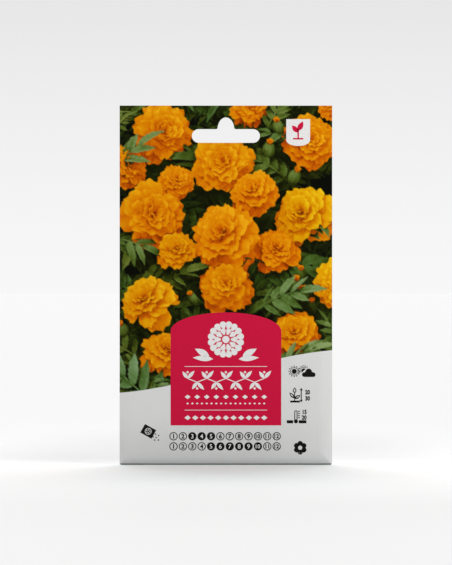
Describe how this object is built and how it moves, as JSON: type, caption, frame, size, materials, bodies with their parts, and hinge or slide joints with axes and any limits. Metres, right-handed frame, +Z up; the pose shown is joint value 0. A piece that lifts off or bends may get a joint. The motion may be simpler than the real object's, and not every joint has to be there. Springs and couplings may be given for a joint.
{
  "type": "seed packet",
  "caption": "Flat upright paper seed packet, folded from one sheet and glued, with a slightly swollen pocket of seeds and a crowned slot in its header to hang it from a display peg.",
  "frame": {"origin": "the crown of the hanging slot, the point that a display peg carries, in the middle plane of the back panel", "axes": "+X to the right as seen from the printed front, +Y out of the back, +Z up along the packet"},
  "size_m": [0.1, 0.0037, 0.169],
  "materials": {
    "paper": "satin",
    "glue": "matte",
    "seed_husk": "matte"
  },
  "bodies": {
    "root": {"paper_sachet": "paper", "header_glue": "glue", "flap_glue": "glue", "tab_glue": "glue", "seeds": "seed_husk"}
  },
  "joints": []
}
